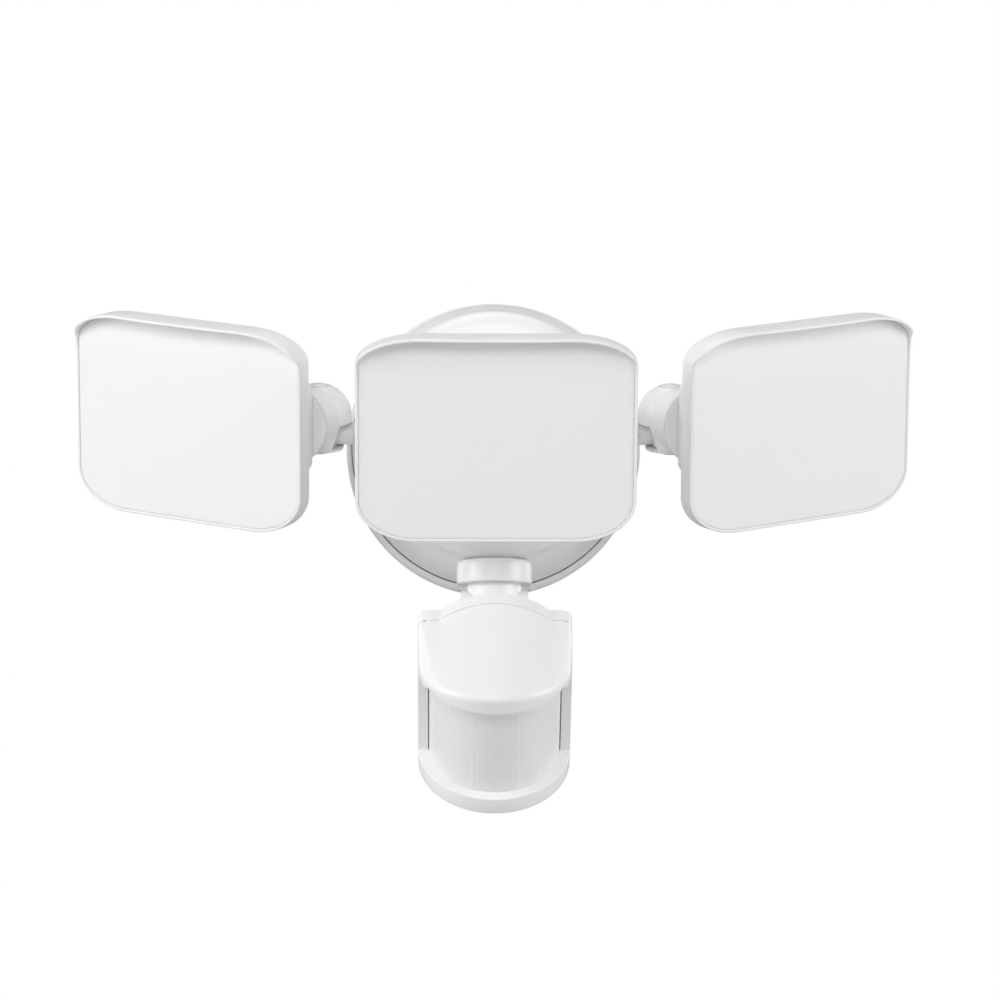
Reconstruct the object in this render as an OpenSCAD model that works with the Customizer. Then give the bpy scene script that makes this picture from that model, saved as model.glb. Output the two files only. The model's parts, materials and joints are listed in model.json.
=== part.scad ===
/* [Canopy] */
// Largest radius of the base, at the wall
base_r = 65.2; // [60:0.1:70]
// Depth of the base, from the wall to the parting line
base_depth = 13.2; // [11:0.1:15]
// Depth of the whole canopy, from the wall to its flat front
canopy_depth = 60; // [59:0.5:61]
// Radius of the cover where it meets the base
cover_r = 62.6; // [60:0.1:64]
// Radius of the cover's flat front
front_r = 51.5; // [50.5:0.5:52]
// Spacing of the two holes that take the junction box screws
box_spacing = 88.9; // [82:0.1:90]
// Diameter of those two holes
box_hole_d = 4.8; // [4.2:0.1:5.2]
// Diameter of the opening that the supply wires come through
wire_hole_d = 22; // [16:0.5:26]

/* [Lamp heads] */
// Width of a lamp head
head_w = 118.6; // [110:0.1:120]
// Height of a lamp head
head_h = 89.2; // [84:0.1:92]
// Thickness of a housing behind its diffuser
head_t = 7.5; // [7:0.1:9]
// Length that the visor stands ahead of the diffuser
visor_len = 9; // [6:0.1:10]
// Downward tilt of the heads at rest, in degrees
head_pitch = 20.6; // [16:0.1:24]
// Outward turn of the two side heads at rest, in degrees
head_yaw = 32.7; // [28:0.1:36]

/* [Arms and knuckles] */
// Diameter of an arm
arm_d = 9.6; // [9:0.1:10]
// Height of the three arms above the middle of the canopy
arm_z = 0.5; // [0:0.1:1]
// Distance of the two side arms from the wall
side_arm_y = 51.5; // [50.5:0.5:51.5]
// Distance of a side knuckle from the middle of the canopy
side_ball_x = 76.5; // [76:0.1:80]
// Distance of the middle knuckle from the wall
centre_ball_y = 77.5; // [77:0.1:79]
// Radius of a knuckle's round housing
ball_r = 14.4; // [14:0.1:15]

/* [Sensor] */
// Width of the sensor
sensor_w = 66; // [64:0.5:68]
// Depth of the sensor, from its back to its brow
sensor_d = 50.2; // [48:0.2:51]
// Downward tilt of the sensor at rest, in degrees
sensor_tilt = 47.4; // [40:0.1:50]
// Distance of the sensor's swivel from the wall
swivel_y = 43.5; // [43:0.1:43.5]

/* [Hidden] */
$fn = 64;

// Finishes
shell_colour = [0.93, 0.93, 0.92];
milky_colour = [0.97, 0.97, 0.95];
board_colour = [0.12, 0.40, 0.22];
metal_colour = [0.75, 0.76, 0.78];
dark_colour = [0.15, 0.15, 0.16];
rubber_colour = [0.32, 0.32, 0.33];
copper_colour = [0.72, 0.45, 0.25];
lamp_colour = [0.95, 0.85, 0.45];

// Fits
eps = 0.01;
run_gap = 0.08;
side_gap = 0.35;
pin_r = 2.5;
pin_gap = 0.05;
wall = 2.4;

// Canopy
floor_t = 3;
gasket_t = 1.5;
lug_r = 4.5;
cover_screw_r = 1.75;
cover_screw_x = 40;
cover_screw_z = 22;
screw_bed = 4;
screw_bed_r = 3.4;
board_stand = 14;
board_x = 26;
board_z = 18;
board_front = 15.6;
boss_r = 7.5;
boss_x = 59.5;
boss_in = 11;
nut_t = 3;
nut_r = 6;
collar_r = 6;
collar_t = 1.2;
drum_r = 16.3;
drum_z = -65.6;
drum_top = -51.6;
tab_z = -62.5;
stem_r = 11.9;
stem_z = -72;
stem_top = -57.6;
stem_neck_r = 8.8;
stem_neck_top = -46;
swivel_nut_r = 11;

// Arms: the knuckle's middle stands above the arm, so that its slot is low down
ball_lift = 7.8;
eye_r = 8;
eye_h = 10;
floor_z = -14.4;
floor_r = 10.6;
neck_r = 13.6;
flare_r = 16.6;
flare_t = 5;
screw_head_r = 4.2;
screw_head_t = 1.8;
hinge_nut_t = 3.2;
hinge_nut_z = 7;
yaw_in = 26;
yaw_out = 6;
pitch_up = 20.6;
pitch_down = 15;

// Heads
corner_top = [28, 13];
corner_bottom = [26, 18];
rim_w = 2;
pad_h = 41;
pad_t = 3;
pad_lift = 3.3;
pad_half_w = 52;
neck_back = 29;
knuckle_in = 50;
visor_end = 3.5;
visor_drop = 11;
pocket_y = 5.5;
seal_y = 1.8;
board_y = 3.9;
led_y = 3.1;
led_cols = 8;
led_rows = 5;
led_size = 2.8;
led_pitch = [12, 13];
head_screw_x = 44;
head_screw_z = 27;
head_screw_r = 1.5;

// Sensor, in its own frame: x across, -y forward, z up
sensor_r = sensor_w / 2;
plan_y = sensor_d - sensor_r;
rear_t = 5.2;
rear_back = 2.2;
chin_h = 8.4;
brow_h = 56.9;
arch_r = sensor_r + 0.6;
arch_z = 47.6;
shoulder_h = 71.7;
peak_h = arch_z + arch_r;
lens_r = sensor_r - 5;
lens_t = 1.4;
lens_y = plan_y - 0.2;
window_half_w = lens_r + 0.3;
window_back = 12;
cheek_front = plan_y + 2;
shell_t = 2.2;
hood_slope = 20.6;
tongue_w = 12;
tongue_r = 7.5;
yoke_r = 10.3;
yoke_gap = 0.35;
tilt_up = 30;
tilt_down = 3;
pivot_h = 53;
pivot_back = 20;
swivel_z = -77.6;
yoke_w = 29;
tilt_pin_r = 2;
tilt_head_r = 4;
tilt_head_t = 2;
dial_r = 4.2;
dial_x = 14;
dial_y = -20;
dial_out = 1.5;
switch_y = -33;
switch_w = 4;
switch_d = 3;
switch_travel = 3;
cover_boss_x = sensor_r - 3.3;
cover_boss_z = [12, 62];
sensor_screw_r = 1.4;

// Points of a quarter ellipse about (cx, cy) with half axes (a, b), from angle a0 to a1
function ellipse_arc(cx, cy, a, b, a0, a1, n = 10) =
    [for (i = [0:n]) let (t = a0 + (a1 - a0) * i / n) [cx + a * cos(t), cy + b * sin(t)]];

// Outline of a head, pulled in all round by an inset
function head_outline(inset) =
    let (
        w = head_w / 2 - inset,
        h = head_h / 2 - inset,
        ta = corner_top[0] - inset,
        tb = corner_top[1] - inset,
        ba = corner_bottom[0] - inset,
        bb = corner_bottom[1] - inset
    )
    concat(
        ellipse_arc(w - ta, h - tb, ta, tb, 0, 90),
        ellipse_arc(-w + ta, h - tb, ta, tb, 90, 180),
        ellipse_arc(-w + ba, -h + bb, ba, bb, 180, 270),
        ellipse_arc(w - ba, -h + bb, ba, bb, 270, 360)
    );

// A flat shape in x and z, drawn from y = y0 back to y = y0 + t
module slab(y0, t) {
    translate([0, y0 + t, 0]) rotate([90, 0, 0]) linear_extrude(t) children();
}

// A cylinder along y from y0 to y1
module along_y(r, y0, y1) {
    translate([0, y1, 0]) rotate([90, 0, 0]) cylinder(r = r, h = y1 - y0);
}

// A cylinder along x from x0 to x1
module along_x(r, x0, x1) {
    translate([x0, 0, 0]) rotate([0, 90, 0]) cylinder(r = r, h = x1 - x0);
}

// A solid of revolution about the canopy's axis: points are [radius, distance from the wall]
module turned(points) {
    rotate([90, 0, 0]) rotate_extrude($fn = 96) polygon(points);
}

// ---- Canopy ----

module mount_base() {
    color(shell_colour) difference() {
        union() {
            difference() {
                turned([[0, 0], [base_r, 0], [base_r, 2], [cover_r, base_depth], [0, base_depth]]);
                along_y(cover_r - wall - 1, -base_depth - 1, -floor_t);
            }
            for (side = [-1, 1])
                translate([side * cover_screw_x, 0, cover_screw_z]) along_y(lug_r, -base_depth, -1);
            for (x = [-board_x, board_x], z = [-board_z, board_z])
                translate([x, 0, z]) along_y(2.5, -board_stand, -1);
        }
        turned([[57, -1], [63, -1], [63, gasket_t], [57, gasket_t]]);
        along_y(wire_hole_d / 2, -floor_t - 1, 1);
        for (side = [-1, 1]) {
            translate([side * box_spacing / 2, 0, 0]) along_y(box_hole_d / 2, -floor_t - 1, 1);
            translate([side * cover_screw_x, 0, cover_screw_z])
                along_y(cover_screw_r, -base_depth - 1, -floor_t);
        }
    }
}

module wall_gasket() {
    color(rubber_colour) turned([[57, 0], [63, 0], [63, gasket_t], [57, gasket_t]]);
}

// Bow of the cover's wall, and the depth over which it rolls into the front
cover_bow = 7.6;
roll = 6;

// Cover profile: a slightly bowed wall that rolls over into the flat front
function cover_profile(inset) = concat(
    [[0, base_depth], [cover_r - inset, base_depth]],
    [for (i = [1:8]) let (t = i / 8)
        [cover_r - inset - cover_bow * t * t, base_depth + (canopy_depth - roll - base_depth) * t]],
    ellipse_arc(front_r - inset, canopy_depth - roll, cover_r - cover_bow - front_r, roll - inset, 15, 90, 6),
    [[0, canopy_depth - inset]]
);

// Everything that belongs to the three arms and the sensor's stem, as solid bosses
module cover_bosses() {
    for (side = [-1, 1])
        mirror([side < 0 ? 1 : 0, 0, 0])
            translate([0, -side_arm_y, arm_z]) along_x(boss_r, boss_x - boss_in, boss_x);
    translate([0, 0, arm_z]) along_y(boss_r, -canopy_depth, -canopy_depth + boss_in);
    for (side = [-1, 1])
        translate([side * cover_screw_x, 0, cover_screw_z]) along_y(lug_r + 1, -canopy_depth + 1, -base_depth);
}

module canopy_cover() {
    color(shell_colour) difference() {
        union() {
            difference() {
                turned(cover_profile(0));
                turned(cover_profile(wall));
                turned([[0, 0], [cover_r - wall, 0], [cover_r - wall, base_depth + 1], [0, base_depth + 1]]);
            }
            cover_bosses();
            translate([0, -swivel_y, drum_z]) cylinder(r = drum_r, h = drum_top - drum_z);
            translate([-drum_r, -swivel_y, tab_z]) cube([2 * drum_r, swivel_y - base_depth, drum_top - tab_z]);
        }
        // bearing holes of the three arms
        translate([0, -side_arm_y, arm_z]) along_x(arm_d / 2 + run_gap, -70, 70);
        translate([0, 0, arm_z]) along_y(arm_d / 2 + run_gap, -canopy_depth - 1, -canopy_depth + boss_in + 1);
        // stepped hole of the sensor's stem
        translate([0, -swivel_y, drum_z - 1]) cylinder(r = stem_r + run_gap, h = stem_top - drum_z + 1);
        translate([0, -swivel_y, drum_z]) cylinder(r = stem_neck_r + run_gap, h = drum_top - drum_z + 1);
        // screw holes through the cover's posts
        for (side = [-1, 1])
            translate([side * cover_screw_x, 0, cover_screw_z]) {
                along_y(cover_screw_r + 0.2, -canopy_depth - 1, 0);
                along_y(screw_bed_r, -canopy_depth - 1, -canopy_depth + screw_bed);
            }
    }
}

module cover_screws() {
    color(metal_colour) for (side = [-1, 1])
        translate([side * cover_screw_x, 0, cover_screw_z]) {
            along_y(cover_screw_r, -canopy_depth + screw_bed, -floor_t - 1);
            along_y(screw_bed_r - 0.3, -canopy_depth + 1.8, -canopy_depth + screw_bed);
        }
}

module driver_board() {
    color(board_colour) translate([-30, -board_front, -22]) cube([60, board_front - board_stand, 44]);
}

module transformer() {
    color(copper_colour) translate([0, -board_front, 4]) {
        translate([-11, -14, -9]) cube([22, 14, 18]);
        translate([-8, -17, -12]) cube([16, 17, 24]);
    }
}

module capacitors() {
    color(dark_colour) for (x = [-22, 20], z = [-12, 12])
        translate([x, 0, z]) along_y(5, -board_front - 16.4, -board_front);
}

module relay() {
    color(dark_colour) translate([-12, -board_front - 12.4, -20]) cube([19, 12.4, 10]);
}

module terminal_block() {
    color(milky_colour) translate([-12, -board_front - 10.4, 17]) cube([24, 10.4, 4.8]);
}

// ---- Arms, knuckles and their screws ----

// A nut: a six-sided ring from y = 0 to y = t
module nut_ring(r, t, hole_r) {
    difference() {
        cylinder(r = r, h = t, $fn = 6);
        translate([0, 0, -1]) cylinder(r = hole_r, h = t + 2);
    }
}

// The middle of a side knuckle's pin, with the head's tilt but not its turn
module side_pin_frame(side) {
    translate([side * side_ball_x, -side_arm_y, arm_z]) rotate([head_pitch, 0, 0])
        translate([0, 0, ball_lift]) children();
}

// The ball of a side knuckle, turned with its head
module side_ball_frame(side) {
    side_pin_frame(side) rotate([0, 0, side * head_yaw]) children();
}

module side_head_frame(side) {
    side_ball_frame(side) translate([side * knuckle_in, -neck_back, -pad_lift]) children();
}

module centre_ball_frame() {
    translate([0, -centre_ball_y, arm_z]) rotate([head_pitch, 0, 0]) children();
}

module centre_head_frame() {
    centre_ball_frame() translate([0, -neck_back, 0]) children();
}

module side_arm(side) {
    color(shell_colour) difference() {
        union() {
            mirror([side < 0 ? 1 : 0, 0, 0]) translate([0, -side_arm_y, arm_z]) {
                along_x(arm_d / 2, boss_x - boss_in - nut_t - 4, side_ball_x);
                along_x(collar_r, boss_x + 0.3, boss_x + 0.3 + collar_t);
            }
            side_pin_frame(side) translate([0, 0, -ball_lift - eye_h / 2]) cylinder(r = eye_r, h = eye_h);
        }
        side_pin_frame(side) translate([0, 0, -ball_lift - arm_d]) cylinder(r = pin_r + pin_gap, h = 2 * arm_d);
    }
}

module side_arm_nut(side) {
    color(metal_colour) mirror([side < 0 ? 1 : 0, 0, 0])
        translate([boss_x - boss_in - 0.3, -side_arm_y, arm_z]) rotate([0, -90, 0])
            nut_ring(nut_r, nut_t, arm_d / 2);
}

module centre_arm() {
    color(shell_colour) difference() {
        translate([0, 0, arm_z]) {
            along_y(arm_d / 2, -centre_ball_y, -canopy_depth + boss_in + nut_t + 4);
            along_y(collar_r, -canopy_depth - 0.3 - collar_t, -canopy_depth - 0.3);
            translate([0, -centre_ball_y, 0]) along_x(eye_r, -eye_h / 2, eye_h / 2);
        }
        translate([0, -centre_ball_y, arm_z]) along_x(pin_r + pin_gap, -arm_d, arm_d);
    }
}

module centre_arm_nut() {
    color(metal_colour) translate([0, -canopy_depth + boss_in + 0.3, arm_z]) rotate([-90, 0, 0])
        nut_ring(nut_r, nut_t, arm_d / 2);
}

// A slot for something as wide as 2 * half that swings about the origin from one angle to another
function swing_slot(half, angle_a, angle_b, reach) = concat(
    [[half * sin(angle_a), -half * cos(angle_a)]],
    [[reach * cos(angle_a) + half * sin(angle_a), reach * sin(angle_a) - half * cos(angle_a)]],
    [for (i = [1:3]) let (t = angle_a + (angle_b - angle_a) * i / 4)
        [1.2 * reach * cos(t), 1.2 * reach * sin(t)]],
    [[reach * cos(angle_b) - half * sin(angle_b), reach * sin(angle_b) + half * cos(angle_b)]],
    [[-half * sin(angle_b), half * cos(angle_b)]]
);

// The room that an arm and its eye need in a knuckle, about the pin along z
module arm_way(angle_a, angle_b) {
    half = eye_h / 2 + side_gap;
    translate([0, 0, -half]) {
        cylinder(r = eye_r + 0.4, h = 2 * half);
        linear_extrude(2 * half) polygon(swing_slot(half, angle_a, angle_b, 2 * ball_r));
    }
}

// Neck that joins a knuckle's ball to the back of a housing
module neck() {
    back = neck_back - head_t - pad_t;
    rotate([90, 0, 0]) cylinder(r1 = neck_r, r2 = neck_r + 0.3, h = back - flare_t + 1);
    translate([0, -back + flare_t, 0]) rotate([90, 0, 0]) cylinder(r1 = neck_r, r2 = flare_r, h = flare_t);
}

module side_knuckle(side) {
    color(shell_colour) side_ball_frame(side) difference() {
        union() {
            sphere(r = ball_r);
            translate([0, 0, floor_z]) cylinder(r1 = floor_r, r2 = ball_r - 0.9, h = 9.4);
            neck();
        }
        translate([0, 0, -ball_lift]) mirror([side > 0 ? 1 : 0, 0, 0])
            arm_way(head_yaw - yaw_in, head_yaw + yaw_out);
        translate([0, 0, floor_z - 1]) cylinder(r = pin_r, h = 2 * ball_r);
        translate([0, 0, hinge_nut_z]) cylinder(r = screw_head_r + 0.3, h = ball_r);
    }
}

module side_hinge_screw(side) {
    color(metal_colour) side_ball_frame(side) {
        translate([0, 0, floor_z]) cylinder(r = pin_r, h = hinge_nut_z - floor_z + hinge_nut_t + 0.6);
        translate([0, 0, floor_z - screw_head_t]) cylinder(r = screw_head_r, h = screw_head_t);
    }
}

module side_hinge_nut(side) {
    color(metal_colour) side_ball_frame(side) translate([0, 0, hinge_nut_z])
        nut_ring(screw_head_r, hinge_nut_t, pin_r);
}

module centre_knuckle() {
    color(shell_colour) centre_ball_frame() difference() {
        union() {
            sphere(r = ball_r);
            neck();
        }
        rotate([0, 90, 0]) rotate([0, 0, 90]) arm_way(-head_pitch - pitch_down, -head_pitch + pitch_up);
        along_x(pin_r, -2 * ball_r, 2 * ball_r);
        along_x(screw_head_r + 0.3, 9, 2 * ball_r);
        along_x(screw_head_r + 0.3, -2 * ball_r, -9);
    }
}

module centre_hinge_screw() {
    color(metal_colour) centre_ball_frame() {
        along_x(pin_r, -9 - hinge_nut_t - 0.6, 9);
        along_x(screw_head_r, 9, 9 + screw_head_t);
    }
}

module centre_hinge_nut() {
    color(metal_colour) centre_ball_frame() translate([-9, 0, 0]) rotate([0, -90, 0])
        nut_ring(screw_head_r, hinge_nut_t, pin_r);
}

// ---- Lamp heads, each in its own frame: the diffuser's face at y = 0, looking along -y ----

// The visor's front edge, seen from above: furthest forward in the middle
function visor_edge(x) = -(visor_end + (visor_len - visor_end) * (1 - pow(abs(x) * 2 / head_w, 2.4)));

module housing() {
    half = head_w / 2;
    color(shell_colour) difference() {
        union() {
            slab(0, head_t) polygon(head_outline(0));
            translate([0, 0, pad_lift]) slab(head_t - eps, pad_t + eps)
                square([2 * pad_half_w, pad_h], center = true);
            intersection() {
                slab(-visor_len, visor_len + 1) difference() {
                    polygon(head_outline(0));
                    polygon(head_outline(rim_w));
                }
                translate([0, 0, head_h / 2 - visor_drop]) linear_extrude(head_h) polygon(concat(
                    [[half + 1, 2], [-half - 1, 2]],
                    [for (i = [-12:12]) let (x = i / 12 * half) [x, visor_edge(x)]]
                ));
            }
        }
        slab(-1, pocket_y + 1) polygon(head_outline(rim_w));
        for (x = [-head_screw_x, head_screw_x], z = [-head_screw_z, head_screw_z])
            translate([x, 0, z]) along_y(head_screw_r, pocket_y - 1, head_t + 1);
        translate([0, 0, pad_lift]) along_y(3.5, pocket_y - 1, pocket_y + 1);
    }
}

module led_board() {
    color(board_colour) difference() {
        slab(board_y, pocket_y - board_y) polygon(head_outline(rim_w + 0.4));
        for (x = [-head_screw_x, head_screw_x], z = [-head_screw_z, head_screw_z])
            translate([x, 0, z]) along_y(head_screw_r, board_y - 1, pocket_y + 1);
    }
}

module leds() {
    color(lamp_colour)
        for (col = [0:led_cols - 1], row = [0:led_rows - 1])
            translate([
                (col - (led_cols - 1) / 2) * led_pitch[0] - led_size / 2,
                led_y,
                (row - (led_rows - 1) / 2) * led_pitch[1] - led_size / 2
            ]) cube([led_size, board_y - led_y, led_size]);
}

module diffuser() {
    color(milky_colour) slab(0, seal_y) polygon(head_outline(rim_w + 0.1));
}

module head_seal() {
    color(rubber_colour) slab(seal_y, board_y - seal_y) difference() {
        polygon(head_outline(rim_w + 0.3));
        polygon(head_outline(rim_w + 2));
    }
}

module head_screws() {
    color(metal_colour)
        for (x = [-head_screw_x, head_screw_x], z = [-head_screw_z, head_screw_z])
            translate([x, 0, z]) {
                along_y(head_screw_r, board_y, head_t);
                along_y(2.8, head_t, head_t + 1.2);
            }
}

// ---- Sensor ----

module sensor_frame() {
    translate([0, -swivel_y, swivel_z]) rotate([sensor_tilt, 0, 0])
        translate([0, -pivot_back, -pivot_h]) children();
}

// Front view of the sensor: square shoulders with an arch between them
module sensor_outline(inset) {
    half = sensor_r - inset;
    corner = 4;
    top = shoulder_h - inset;
    difference() {
        union() {
            translate([-half, inset]) square([2 * half, top - inset - corner]);
            translate([-half + corner, inset]) square([2 * half - 2 * corner, top - inset]);
            for (side = [-1, 1]) translate([side * (half - corner), top - corner]) circle(r = corner);
            translate([0, arch_z]) circle(r = arch_r - inset);
        }
        for (side = [-1, 1]) translate([side * (half + 20), arch_z]) square([40, 60], center = true);
        translate([0, inset - 50]) square([100, 100], center = true);
    }
}

// Plan of the sensor: straight sides behind a round front, from the given depth forward
module sensor_plan(inset, back) {
    difference() {
        union() {
            translate([0, -plan_y]) circle(r = sensor_r - inset);
            translate([-sensor_r + inset, -plan_y]) square([2 * (sensor_r - inset), plan_y]);
        }
        translate([-sensor_w, -back]) square([2 * sensor_w, sensor_d]);
    }
}

module sensor_rear() {
    color(shell_colour) sensor_frame() difference() {
        union() {
            slab(-rear_t, rear_t + rear_back) sensor_outline(0.6);
            translate([-tongue_w / 2, -1, pivot_h - tongue_r]) cube([tongue_w, pivot_back + 1, 2 * tongue_r]);
            translate([0, pivot_back, pivot_h]) along_x(tongue_r, -tongue_w / 2, tongue_w / 2);
        }
        slab(-rear_t - 1, rear_t - shell_t + 1) sensor_outline(6.5);
        translate([0, pivot_back, pivot_h]) along_x(tilt_pin_r + pin_gap, -tongue_w, tongue_w);
        for (x = [-cover_boss_x, cover_boss_x], z = cover_boss_z)
            translate([x, 0, z]) along_y(sensor_screw_r + 0.2, -rear_t - 1, rear_back + 1);
    }
}

// The hood's slope: the front outline drawn forward and down from its highest edge at the back
module hood_run(inset) {
    translate([0, -rear_t, peak_h]) rotate([hood_slope, 0, 0]) translate([0, 0, -peak_h])
        slab(-2 * sensor_d, 3 * sensor_d) sensor_outline(inset);
}

module sensor_cover() {
    color(shell_colour) sensor_frame() difference() {
        intersection() {
            linear_extrude(peak_h) sensor_plan(0, rear_t);
            union() {
                hood_run(0);
                translate([-sensor_r, -2 * sensor_d, 0]) cube([2 * sensor_r, 2 * sensor_d, brow_h]);
            }
        }
        intersection() {
            translate([0, 0, shell_t]) linear_extrude(peak_h) union() {
                translate([0, -lens_y]) circle(r = lens_r - lens_t);
                translate([-lens_r + lens_t, -lens_y]) square([2 * (lens_r - lens_t), lens_y]);
            }
            union() {
                hood_run(shell_t);
                translate([-sensor_r, -2 * sensor_d, 0]) cube([2 * sensor_r, 2 * sensor_d, brow_h - 2]);
            }
        }
        translate([-window_half_w, -2 * sensor_d, chin_h])
            cube([2 * window_half_w, 2 * sensor_d - window_back, brow_h - chin_h]);
        // the cheeks stop beside the lens, and leave its round front clear
        translate([-sensor_w, -2 * sensor_d, chin_h])
            cube([2 * sensor_w, 2 * sensor_d - cheek_front, brow_h - chin_h]);
        for (side = [-1, 1]) translate([side * dial_x, dial_y, -1]) cylinder(r = dial_r + side_gap, h = 10);
        translate([-switch_w / 2 - switch_travel - 0.5, switch_y - switch_d / 2 - side_gap, -1])
            cube([switch_w + 2 * switch_travel + 1, switch_d + 2 * side_gap, 10]);
        for (x = [-cover_boss_x, cover_boss_x], z = cover_boss_z)
            translate([x, 0, z]) along_y(sensor_screw_r + 0.1, -rear_t - 10.5, 0);
    }
}

module fresnel_lens() {
    color(milky_colour) sensor_frame() translate([0, -lens_y, chin_h]) linear_extrude(brow_h - chin_h)
        difference() {
            circle(r = lens_r);
            circle(r = lens_r - lens_t);
            translate([-50, 0]) square([100, 100]);
        }
}

module sensor_board() {
    color(board_colour) sensor_frame() translate([-22, -9.6, 14]) cube([44, 1.6, 38]);
}

module pir_element() {
    color(metal_colour) sensor_frame() translate([0, 0, 34]) along_y(4.6, -15, -9.6);
}

module photocell() {
    color(copper_colour) sensor_frame() translate([14, 0, 24]) along_y(2.5, -12.6, -9.6);
}

module dial(side) {
    color(dark_colour) sensor_frame() translate([side * dial_x, dial_y, -dial_out]) difference() {
        cylinder(r = dial_r, h = dial_out + 3.5);
        translate([-dial_r, -0.6, -1]) cube([2 * dial_r, 1.2, 1.8]);
    }
}

module mode_switch() {
    color(dark_colour) sensor_frame() translate([-switch_w / 2, switch_y - switch_d / 2, -dial_out])
        cube([switch_w, switch_d, dial_out + 3.5]);
}

module sensor_screws() {
    color(metal_colour) sensor_frame()
        for (x = [-cover_boss_x, cover_boss_x], z = cover_boss_z)
            translate([x, 0, z]) {
                along_y(sensor_screw_r, -rear_t - 10, rear_back);
                along_y(2.6, rear_back, rear_back + 1.2);
            }
}

module sensor_swivel() {
    half = tongue_w / 2 + yoke_gap;
    color(shell_colour) difference() {
        translate([0, -swivel_y, 0]) {
            translate([0, 0, stem_z]) cylinder(r = stem_r, h = stem_top - 0.3 - stem_z);
            translate([0, 0, stem_z]) cylinder(r = stem_neck_r, h = stem_neck_top - stem_z);
            translate([0, 0, swivel_z]) along_x(yoke_r, -yoke_w / 2, yoke_w / 2);
        }
        translate([0, -swivel_y, swivel_z]) {
            along_x(tongue_r + 0.9, -half, half);
            translate([-half, 0, 0]) rotate([90, 0, 90]) linear_extrude(2 * half) polygon(
                swing_slot(tongue_r + 0.6, 180 + sensor_tilt - tilt_up, 180 + sensor_tilt + tilt_down, 30)
            );
            along_x(tilt_pin_r, -yoke_w, yoke_w);
        }
        translate([0, -swivel_y, drum_z]) cylinder(r = 4, h = 40);
    }
}

module swivel_nut() {
    color(metal_colour) translate([0, -swivel_y, drum_top + 0.3])
        nut_ring(swivel_nut_r + 1, nut_t, stem_neck_r);
}

module tilt_screw() {
    color(metal_colour) translate([0, -swivel_y, swivel_z]) {
        along_x(tilt_pin_r, -yoke_w / 2 - tilt_head_t - 0.4, yoke_w / 2);
        along_x(tilt_head_r, yoke_w / 2, yoke_w / 2 + tilt_head_t);
    }
}

module tilt_nut() {
    color(metal_colour) translate([-yoke_w / 2, -swivel_y, swivel_z]) rotate([0, -90, 0])
        nut_ring(tilt_head_r, tilt_head_t, tilt_pin_r);
}

mount_base();
wall_gasket();
canopy_cover();
cover_screws();
driver_board();
transformer();
capacitors();
relay();
terminal_block();
side_arm(-1);  // left_arm
side_arm_nut(-1);  // left_arm_nut
side_knuckle(-1);  // left_knuckle
side_hinge_screw(-1);  // left_hinge_screw
side_hinge_nut(-1);  // left_hinge_nut
side_head_frame(-1) housing();  // left_housing
side_head_frame(-1) led_board();  // left_led_board
side_head_frame(-1) leds();  // left_leds
side_head_frame(-1) diffuser();  // left_diffuser
side_head_frame(-1) head_seal();  // left_seal
side_head_frame(-1) head_screws();  // left_screws
side_arm(1);  // right_arm
side_arm_nut(1);  // right_arm_nut
side_knuckle(1);  // right_knuckle
side_hinge_screw(1);  // right_hinge_screw
side_hinge_nut(1);  // right_hinge_nut
side_head_frame(1) housing();  // right_housing
side_head_frame(1) led_board();  // right_led_board
side_head_frame(1) leds();  // right_leds
side_head_frame(1) diffuser();  // right_diffuser
side_head_frame(1) head_seal();  // right_seal
side_head_frame(1) head_screws();  // right_screws
centre_arm();
centre_arm_nut();
centre_knuckle();
centre_hinge_screw();
centre_hinge_nut();
centre_head_frame() housing();  // centre_housing
centre_head_frame() led_board();  // centre_led_board
centre_head_frame() leds();  // centre_leds
centre_head_frame() diffuser();  // centre_diffuser
centre_head_frame() head_seal();  // centre_seal
centre_head_frame() head_screws();  // centre_screws
sensor_swivel();
swivel_nut();
tilt_screw();
tilt_nut();
sensor_rear();
sensor_cover();
fresnel_lens();
sensor_board();
pir_element();
photocell();
dial(-1);  // time_dial
dial(1);  // range_dial
mode_switch();
sensor_screws();
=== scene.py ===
import json
import math

import bmesh
import bpy
from mathutils import Matrix, Vector


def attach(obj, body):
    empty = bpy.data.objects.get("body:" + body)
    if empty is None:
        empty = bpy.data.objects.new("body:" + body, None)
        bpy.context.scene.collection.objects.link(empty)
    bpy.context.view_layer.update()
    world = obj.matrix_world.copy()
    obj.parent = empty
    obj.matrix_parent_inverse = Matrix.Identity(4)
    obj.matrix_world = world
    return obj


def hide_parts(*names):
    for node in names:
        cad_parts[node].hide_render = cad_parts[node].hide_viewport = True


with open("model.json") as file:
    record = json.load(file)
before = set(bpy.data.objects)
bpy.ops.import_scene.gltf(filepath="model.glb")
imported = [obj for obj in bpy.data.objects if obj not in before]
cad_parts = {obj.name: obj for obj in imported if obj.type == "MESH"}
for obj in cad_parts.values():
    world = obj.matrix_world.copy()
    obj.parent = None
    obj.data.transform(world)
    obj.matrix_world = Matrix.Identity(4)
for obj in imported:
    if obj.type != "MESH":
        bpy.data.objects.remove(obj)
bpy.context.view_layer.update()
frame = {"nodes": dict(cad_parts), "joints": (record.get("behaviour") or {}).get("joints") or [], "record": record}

# ---------------------------------------------------------------- sizes, in metres and radians
MM = 0.001
SHARP_ANGLE = math.radians(38)

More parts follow.
